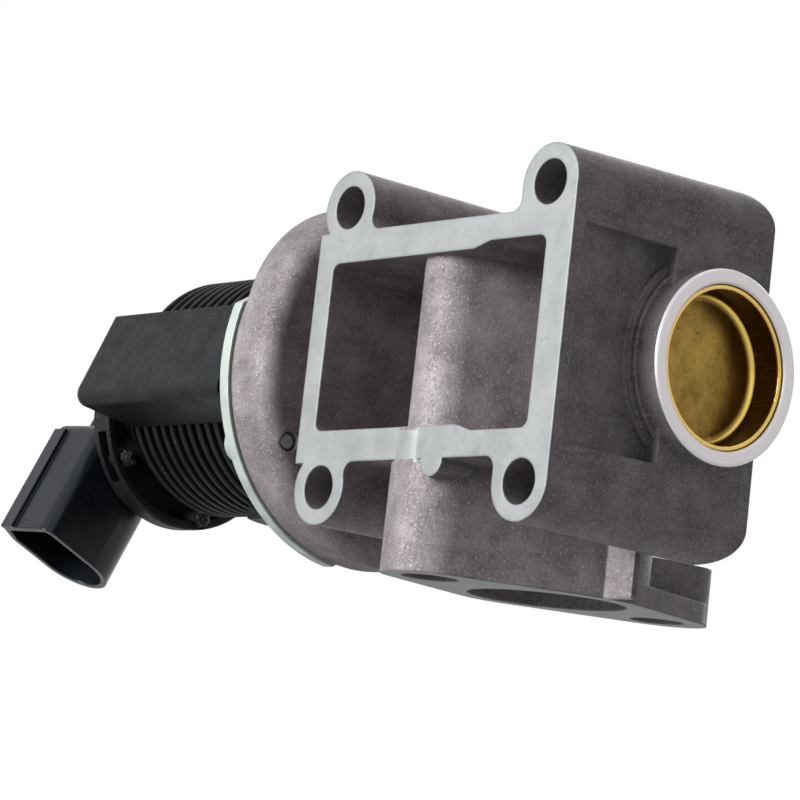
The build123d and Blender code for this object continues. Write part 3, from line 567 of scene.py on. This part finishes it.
@dataclass
class Studio:
    """Camera, lamps, world and floor: a broad key on the manifold face's side, with weaker lamps around."""

    lens_mm: float = 147.33
    place: tuple[float, float, float] = (0.485117, -0.409112, -0.105799)
    right: tuple[float, float, float] = (0.6474234, 0.7541013, 0.1103371)
    up: tuple[float, float, float] = (0.0396143, -0.1778764, 0.9832553)
    back: tuple[float, float, float] = (0.7611003, -0.6322114, -0.1450345)
    sensor_mm: float = 36.0
    middle: tuple[float, float, float] = (-0.05, 0.04, 0.0)
    floor_z: float = -0.17
    floor_half: float = 3.0
    floor_rough: float = 0.9
    floor_pale: str = "#c6c6c6"
    floor_bounce: str = "#868686"
    floor_glow: float = 0.68
    world_level: float = 0.03
    key_watts: float = 23.0
    lamps: tuple[Lamp, ...] = (
        Lamp("key", (-0.10, -1.08, 0.24), 0.46, 1.0),
        Lamp("fill", (0.95, -0.5, 0.2), 0.8, 0.012),
        Lamp("top", (0.0, 0.3, 0.95), 0.7, 0.06),
        Lamp("rear", (-0.5, 0.9, 0.4), 0.7, 0.36),
    )

    def camera(self) -> None:
        """Put the camera at the solved place: its columns are right, up and back in the frame's axes."""
        data = bpy.data.cameras.new("camera")
        data.lens = self.lens_mm
        data.sensor_width = self.sensor_mm
        data.clip_start = 0.01
        data.clip_end = 20.0
        data.dof.use_dof = False
        camera = bpy.data.objects.new("camera", data)
        bpy.context.scene.collection.objects.link(camera)
        matrix = np.eye(4)
        matrix[:3, 0] = self.right
        matrix[:3, 1] = self.up
        matrix[:3, 2] = self.back
        matrix[:3, 3] = self.place
        camera.matrix_world = Matrix(matrix)
        bpy.context.scene.camera = camera

    def light(self, lamp: Lamp) -> None:
        """Add one lamp, turned to the part's middle.

        Args:
            lamp: the lamp.
        """
        data = bpy.data.lights.new(lamp.name, "AREA")
        data.shape = "SQUARE"
        data.size = lamp.size
        data.energy = self.key_watts * lamp.share
        light = bpy.data.objects.new(lamp.name, data)
        bpy.context.scene.collection.objects.link(light)
        towards = np.array(self.middle) - np.array(lamp.place)
        z_axis = -towards / np.linalg.norm(towards)
        x_axis = np.cross([0.0, 0.0, 1.0], z_axis)
        x_axis /= np.linalg.norm(x_axis)
        matrix = np.eye(4)
        matrix[:3] = np.stack([x_axis, np.cross(z_axis, x_axis), z_axis, lamp.place], axis=1)
        light.matrix_world = Matrix(matrix)

    def looked_at(self, tree: bpy.types.NodeTree) -> bpy.types.Node:
        """Tell a ray that looks from the soft light between surfaces.

        Args:
            tree: the node tree.

        Returns:
            1 for a ray from the camera, a gloss or glass, and 0 for any other.
        """
        rays = add(tree, "LightPath").outputs
        seen = add(tree, "Math", (rays["Is Camera Ray"], rays["Is Transmission Ray"]), operation="MAXIMUM")
        return add(tree, "Math", (seen, rays["Is Glossy Ray"]), operation="MAXIMUM")

    def world(self) -> None:
        """White where the camera, a gloss or glass looks at it, and a soft level for everything else."""
        world = bpy.data.worlds.new("studio")
        world.use_nodes = True
        tree = world.node_tree
        tree.nodes.clear()
        strength = add(tree, "Mix", {0: self.looked_at(tree), 2: self.world_level, 3: 1.0})
        background = add(tree, "Background", {"Color": (1.0, 1.0, 1.0, 1.0), "Strength": strength})
        add(tree, "OutputWorld", (background,))
        bpy.context.scene.world = world

    def floor(self) -> None:
        """A plain pale floor below the part: a flat grid of points 6 m wide.

        Where it is looked at, floor_glow of its colour is white of strength 1, and the rest takes the
        lamps' light, so that it is pale far from them and keeps the part's soft shadow.
        """
        ends = np.array([-self.floor_half, self.floor_half])
        across, along = np.meshgrid(ends, ends)
        points = np.stack([across.ravel(), along.ravel(), np.full(4, self.floor_z)], axis=1)
        mesh = bpy.data.meshes.new("floor")
        mesh.from_pydata(points.tolist(), [], [(0, 1, 3, 2)])
        floor = bpy.data.objects.new("floor", mesh)
        bpy.context.scene.collection.objects.link(floor)
        material = bpy.data.materials.new("pale_floor")
        material.use_nodes = True
        tree = material.node_tree
        shader, output = tree.nodes["Principled BSDF"], tree.nodes["Material Output"]
        seen = self.looked_at(tree)
        colour = add(tree, "Mix", {0: seen, 6: srgb(self.floor_bounce), 7: srgb(self.floor_pale)},
                     data_type="RGBA")
        feed(tree, shader, {"Base Color": colour, "Roughness": self.floor_rough})
        white = add(tree, "Emission", {"Color": (1.0, 1.0, 1.0, 1.0), "Strength": 1.0})
        glow = add(tree, "Math", (seen, self.floor_glow), operation="MULTIPLY")
        feed(tree, output, {"Surface": add(tree, "MixShader", (glow, shader, white))})
        floor.data.materials.append(material)

    def build(self) -> None:
        """Set up the whole studio."""
        self.camera()
        self.world()
        self.floor()
        for lamp in self.lamps:
            self.light(lamp)
        bpy.context.scene.view_settings.view_transform = "Standard"


# ---------------------------------------------------------------- surfaces
def grid_mesh(name: str, points: np.ndarray) -> bpy.types.Mesh:
    """Make a closed mesh from a grid of points.

    Row i and column j are joined to their next neighbours by one quad each.  Columns run round the form and
    the last joins the first.  One face closes the first row and another the last.

    Args:
        name: the mesh's name.
        points: rows x columns x 3 array of places, in metres.

    Returns:
        The mesh.
    """
    rows, columns = points.shape[:2]
    index = np.arange(rows * columns).reshape(rows, columns)
    wrapped = np.concatenate([index, index[:, :1]], axis=1)
    quads = np.stack([wrapped[:-1, :-1], wrapped[:-1, 1:], wrapped[1:, 1:], wrapped[1:, :-1]], axis=-1)
    faces = [*quads.reshape(-1, 4).tolist(), index[0, ::-1].tolist(), index[-1].tolist()]
    mesh = bpy.data.meshes.new(name)
    mesh.from_pydata(points.reshape(-1, 3).tolist(), [], faces)
    mesh.validate()
    return mesh


def finish_piece(name: str, meshes: list[bpy.types.Mesh], smooth_deg: float = 35.0) -> bpy.types.Object:
    """Join meshes into one piece, merge doubles, turn faces outwards and smooth all but sharp edges.

    Args:
        name: the piece's name.
        meshes: closed meshes that make it up.
        smooth_deg: edges sharper than this stay crisp.

    Returns:
        The piece, linked to the scene.
    """
    joined = bmesh.new()
    for mesh in meshes:
        joined.from_mesh(mesh)
        bpy.data.meshes.remove(mesh)
    bmesh.ops.remove_doubles(joined, verts=joined.verts, dist=1e-6)
    bmesh.ops.recalc_face_normals(joined, faces=joined.faces)
    for edge in joined.edges:
        if len(edge.link_faces) == 2:
            edge.smooth = edge.calc_face_angle(0.0) < math.radians(smooth_deg)
    for face in joined.faces:
        face.smooth = True
    mesh = bpy.data.meshes.new(name)
    joined.to_mesh(mesh)
    joined.free()
    piece = bpy.data.objects.new(name, mesh)
    bpy.context.scene.collection.objects.link(piece)
    return piece


def along_path(profile: list[tuple[float, float]], steps: list[int]) -> np.ndarray:
    """Fill in a profile: between one station and the next, steps - 1 evenly spaced points are put in.

    Args:
        profile: distance along the axis and radius of each station, in millimetres.
        steps: pieces that each span is cut into, one number for each span.

    Returns:
        Points x 2 array of the whole profile.
    """
    stations = np.array(profile)
    spans = [stations[i] + np.linspace(0, 1, n, endpoint=False)[:, None] * (stations[i + 1] - stations[i])
             for i, n in enumerate(steps)]
    return np.concatenate([*spans, stations[-1:]])


def value_noise(points: np.ndarray, size: float, seed: int) -> np.ndarray:
    """Smooth noise in space: 1.6 times the mean of six sine waves of one length in drawn directions.

    Args:
        points: places, in millimetres, with coordinates on the last axis.
        size: length of a wave, in millimetres.
        seed: which directions and phases are drawn.

    Returns:
        Values of about -1 to 1, one for each place.
    """
    draw = np.random.default_rng(seed)
    waves = draw.normal(size=(6, 3))
    waves /= np.linalg.norm(waves, axis=1, keepdims=True)
    phases = draw.uniform(0, 2 * math.pi, 6)
    return np.sin(points @ waves.T * 2 * math.pi / size + phases).mean(axis=-1) * 1.6


# ---------------------------------------------------------------- sub-assemblies
@dataclass
class SubAssembly:
    """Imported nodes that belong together, and the body that new pieces on them ride on."""

    nodes: tuple[str, ...] = ()
    body: str = "valve_body"
    made: dict[Slot, bpy.types.Material] = field(default_factory=dict)

    def dress(self) -> None:
        """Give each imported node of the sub-assembly the finish of its material slot."""
        slots = {entry["node"]: Slot(entry["material_slot"]) for entry in frame["record"]["subparts"]}
        for name in self.nodes:
            node = frame["nodes"][name]
            node.data.materials.clear()
            node.data.materials.append(self.made[slots[name]])
            log.info("dressed %s in %s", name, slots[name].value)

    def place(self, piece: bpy.types.Object, slot: Slot, *replaced: str) -> None:
        """Give a new piece its finish and its body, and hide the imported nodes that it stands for.

        Args:
            piece: the new piece.
            slot: its finish.
            *replaced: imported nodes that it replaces.
        """
        piece.data.materials.append(self.made[slot])
        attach(piece, self.body)
        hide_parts(*replaced)
        log.info("built %s with %d faces", piece.name, len(piece.data.polygons))

    def build(self) -> None:
        """Make the new pieces of the sub-assembly, where it has any."""


@dataclass
class CastHousing(SubAssembly):
    """The casting with its pressed-in plug, seat, bush, scraper and flange gasket."""

    nodes: tuple[str, ...] = ("valve_housing", "core_plug", "valve_seat", "guide_bush", "stem_scraper",
                              "flange_gasket")


@dataclass
class ValveTrain(SubAssembly):
    """The stem with its poppet, retainer, clip and armature."""

    nodes: tuple[str, ...] = ("valve_stem", "poppet_disc", "spring_retainer", "retainer_clip", "armature")
    body: str = "valve_slide"


@dataclass
class ReturnSpring(SubAssembly):
    """The coil spring that closes the valve, which shortens as the valve lifts."""

    nodes: tuple[str, ...] = ("return_spring",)
    wire: float = 1.5
    turns: float = 4.5
    closed_turns: float = 0.75
    rows: int = 220
    columns: int = 18

    def build(self) -> None:
        """Wind the spring in its node's box.

        The wire's middle is at (x, R cos t, R sin t).  x rises by one wire per turn over the closed turns
        at each end and evenly between them, and a circle of half a wire is carried along it.
        """
        low, high = (np.array(corner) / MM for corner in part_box("return_spring"))
        length = high[0] - low[0]
        coil_r = (high[1] - low[1] - self.wire) / 2
        turn = np.linspace(0, self.turns, self.rows)
        end = self.closed_turns * self.wire
        x = np.interp(turn, [0, self.closed_turns, self.turns - self.closed_turns, self.turns],
                      [0, end, length - self.wire - end, length - self.wire])[:, None]
        angle = 2 * math.pi * turn[:, None]
        around = np.linspace(0, 2 * math.pi, self.columns, endpoint=False)
        reach = coil_r + self.wire / 2 * np.cos(around)
        points = np.stack([x + self.wire / 2 * (1 + np.sin(around)), reach * np.cos(angle),
                           reach * np.sin(angle)], axis=-1)
        middle = np.array([low[0], (low[1] + high[1]) / 2, (low[2] + high[2]) / 2])
        piece = finish_piece("wound_spring", [grid_mesh("spring", (points + middle) * MM)])
        self.place(piece, Slot.STEEL, "return_spring")
        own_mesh(piece)


@dataclass
class Solenoid(SubAssembly):
    """The zinc plate with its two screws, the ribbed casing, the terminal box, the coil and its iron."""

    nodes: tuple[str, ...] = ("mounting_plate", "solenoid_casing", "terminal_box", "yoke_tube",
                              "pole_piece", "armature_sleeve", "coil_bobbin", "coil_winding", "flux_washer")
    # Lengths and radii of a screw, in millimetres.
    head_r: float = 4.3
    head_height: float = 4.0
    head_dome: float = 1.6
    shank_r: float = 2.1
    socket_r: float = 2.3
    socket_deep: float = 2.2
    socket_draft: float = 0.9
    socket_rim: float = 0.15
    lobe: float = 0.13
    thread_pitch: float = 0.8
    thread_deep: float = 0.22
    thread_run_in: float = 0.6
    thread_run_out: float = 0.4
    tip_length: float = 0.8
    tip_draw: float = 0.7
    pole_r: float = 0.02
    dome_rows: int = 7
    rows_per_mm: int = 10
    columns: int = 96

    def screw(self, rear: np.ndarray, length: float) -> bpy.types.Mesh:
        """One screw along +X: a domed head with a six-lobed socket, and a threaded shank with a blunt tip.

        A profile (x, r) is turned about the screw's axis at angle a.  In the socket its radius is scaled by
        1 + lobe cos 6a.  On the shank it is lessened by thread_deep times a triangle wave of
        (x / pitch - a / 2 pi), which is a single-start thread.

        Args:
            rear: the middle of the head's rear end, in millimetres.
            length: from the head's rear end to the tip.

        Returns:
            The screw's closed mesh.
        """
        socket = [(self.socket_deep, self.pole_r), (self.socket_deep, self.socket_r * self.socket_draft),
                  (0.0, self.socket_r), (0.0, self.socket_r + self.socket_rim)]
        dome = [(self.head_dome * (1 - math.sin(t)), self.head_r - self.head_dome * (1 - math.cos(t)))
                for t in np.linspace(math.pi / 2, 0, self.dome_rows)]
        under = [(self.head_height, self.head_r), (self.head_height, self.shank_r)]
        tip = [(length - self.tip_length, self.shank_r), (length, self.shank_r - self.tip_draw),
               (length, self.pole_r)]
        socket_steps = [1, 6, 1]
        shank_steps = int((length - self.head_height) * self.rows_per_mm)
        profile = along_path([*socket, *dome, *under, *tip],
                             [*socket_steps, 1] + [1] * (self.dome_rows - 1) + [2, 1, shank_steps, 2, 1])
        angle = np.linspace(0, 2 * math.pi, self.columns, endpoint=False)
        x, r = profile[:, :1], profile[:, 1:]
        in_socket = (np.arange(len(profile)) <= sum(socket_steps))[:, None]
        radius = r * (1 + np.where(in_socket, self.lobe * np.cos(6 * angle), 0.0))
        on_shank = (x > self.head_height + self.thread_run_in) & (x < length - self.thread_run_out)
        phase = (x / self.thread_pitch - angle / (2 * math.pi)) % 1.0
        radius = radius - np.where(on_shank, self.thread_deep * np.abs(2 * phase - 1), 0.0)
        points = np.stack([np.broadcast_to(x, radius.shape), radius * np.cos(angle),
                           radius * np.sin(angle)], axis=-1)
        return grid_mesh("screw", (points + rear) * MM)

    def build(self) -> None:
        """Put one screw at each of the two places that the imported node's box spans."""
        low, high = (np.array(corner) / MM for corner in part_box("plate_screws"))
        near = np.array([low[0], low[1] + self.head_r, low[2] + self.head_r])
        far = np.array([low[0], high[1] - self.head_r, high[2] - self.head_r])
        piece = finish_piece("flange_screws", [self.screw(place, high[0] - low[0])
                                               for place in (near, far)])
        self.place(piece, Slot.ZINC, "plate_screws")


@dataclass
class SensorCap(SubAssembly):
    """The end cap with its melted stakes, the position sensor, and the connector with its blades."""

    nodes: tuple[str, ...] = ("end_cap", "sensor_guide", "sensor_track", "sensor_spring", "connector_shell")
    # A stake, in millimetres: its lumps have two sizes, and the melt starts at a share of its length.
    stake_r: float = 2.3
    stake_rough: float = 0.32
    stake_crown: float = 1.6
    stake_sag: float = 0.9
    lump_mm: tuple[float, float] = (2.1, 0.9)
    lump_fine_share: float = 0.6
    melt_start: float = 0.35
    melt_span: float = 0.4
    post_rows: int = 12
    crown_rows: int = 22
    stake_columns: int = 56
    stake_seeds: tuple[int, int] = (7, 12)
    # A blade, in millimetres.
    blade_count: int = 5
    blade_pitch: float = 4.0
    blade_width: float = 1.5
    blade_thick: float = 0.8
    blade_rows: tuple[float, ...] = (0.0, 2.0, 9.4, 10.0, 10.6, 11.0)
    blade_columns: int = 32
    taper_length: float = 1.6
    taper_tip: float = 0.45
    socket_deep: float = 19.0

    def stake(self, rear: np.ndarray, length: float, seed: int) -> bpy.types.Mesh:
        """One post melted over at its end: a cylinder into a dome, both pushed inwards by smooth noise.

        The dome is an ellipse, x = length - stake_crown (1 - cos t), r = stake_r sin t, and the noise grows
        towards the melted end.

        Args:
            rear: the middle of the post's foot, in millimetres.
            length: from the foot to the crown.
            seed: which lumps are drawn.

        Returns:
            The post's closed mesh.
        """
        crown = self.stake_crown
        turn = np.linspace(math.pi / 2, 0.02, self.crown_rows)
        x = np.concatenate([np.linspace(0, length - crown, self.post_rows, endpoint=False),
                            length - crown * (1 - np.cos(turn))])[:, None]
        r = np.concatenate([np.full(self.post_rows, self.stake_r), self.stake_r * np.sin(turn)])[:, None]
        angle = np.linspace(0, 2 * math.pi, self.stake_columns, endpoint=False)
        across = r * np.cos(angle)
        points = np.stack([np.broadcast_to(x, across.shape), across, r * np.sin(angle)], axis=-1)
        coarse, fine = (value_noise(points, size, seed + i) for i, size in enumerate(self.lump_mm))
        lumps = 0.5 * (coarse + self.lump_fine_share * fine) - 0.5
        inward = self.stake_rough * lumps * np.clip((x / length - self.melt_start) / self.melt_span, 0, 1)
        points[..., 1:] *= 1 + inward[..., None]
        points[..., 0] += self.stake_sag * inward * (x / length)
        return grid_mesh("stake", (points + rear) * MM)

    def blade(self, foot: np.ndarray, down: np.ndarray, out: np.ndarray) -> bpy.types.Mesh:
        """One connector blade: a rounded rectangle carried along its length, drawn in to a blunt tip.

        The section is a superellipse, |u|^6 + |v|^6 = 1, scaled by half the thickness along X and half the
        width across, and both shrink to taper_tip of that over the last taper_length.

        Args:
            foot: the middle of the blade's root, in millimetres.
            down: unit direction along the blade.
            out: unit direction across the blade's width.

        Returns:
            The blade's closed mesh.
        """
        angle = np.linspace(0, 2 * math.pi, self.blade_columns, endpoint=False)
        unit = (np.abs(np.cos(angle)) ** 6 + np.abs(np.sin(angle)) ** 6) ** (-1 / 6)
        along = np.array(self.blade_rows)
        shrink = np.interp(along, [0, along[-1] - self.taper_length, along[-1]], [1, 1, self.taper_tip])
        half_x = (0.5 * self.blade_thick * unit * np.cos(angle))[None] * shrink[:, None]
        half_out = (0.5 * self.blade_width * unit * np.sin(angle))[None] * shrink[:, None]
        points = (foot + along[:, None, None] * down + half_out[..., None] * out
                  + half_x[..., None] * np.array([1.0, 0.0, 0.0]))
        return grid_mesh("blade", points * MM)

    def build(self) -> None:
        """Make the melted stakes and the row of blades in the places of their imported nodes."""
        low, high = (np.array(corner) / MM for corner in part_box("cap_stakes"))
        length = high[0] - low[0]
        upper = np.array([low[0], low[1] + self.stake_r, high[2] - self.stake_r])
        lower = np.array([low[0], high[1] - self.stake_r, low[2] + self.stake_r])
        stakes = finish_piece("melted_stakes", [self.stake(place, length, seed) for place, seed
                                                in zip((upper, lower), self.stake_seeds)], 60.0)
        self.place(stakes, Slot.MOULDING, "cap_stakes")
        socket = MOUNTS["electric_socket"]
        down = np.array(socket["axis"])
        out = np.array([0.0, down[2], -down[1]])
        middle = np.array(socket["pos_m"]) / MM - self.socket_deep * down
        spread = self.blade_pitch * (np.arange(self.blade_count) - (self.blade_count - 1) / 2)
        blades = finish_piece("connector_blades", [self.blade(middle + step * out, down, out)
                                                   for step in spread])
        self.place(blades, Slot.PIN, "connector_pins")


@dataclass
class SensorPlunger(SubAssembly):
    """The plunger that carries the stem's travel to the sensor."""

    nodes: tuple[str, ...] = ("sensor_plunger",)
    body: str = "valve_slide"


def main() -> None:
    """Build the studio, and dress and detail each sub-assembly."""
    logging.basicConfig(level=logging.INFO, format="%(message)s")
    Studio().build()
    made = {slot: finish.make() for slot, finish in FINISHES.items()}
    for kind in (CastHousing, ValveTrain, ReturnSpring, Solenoid, SensorCap, SensorPlunger):
        part = kind(made=made)
        part.dress()
        part.build()


if __name__ == "__main__":
    main()
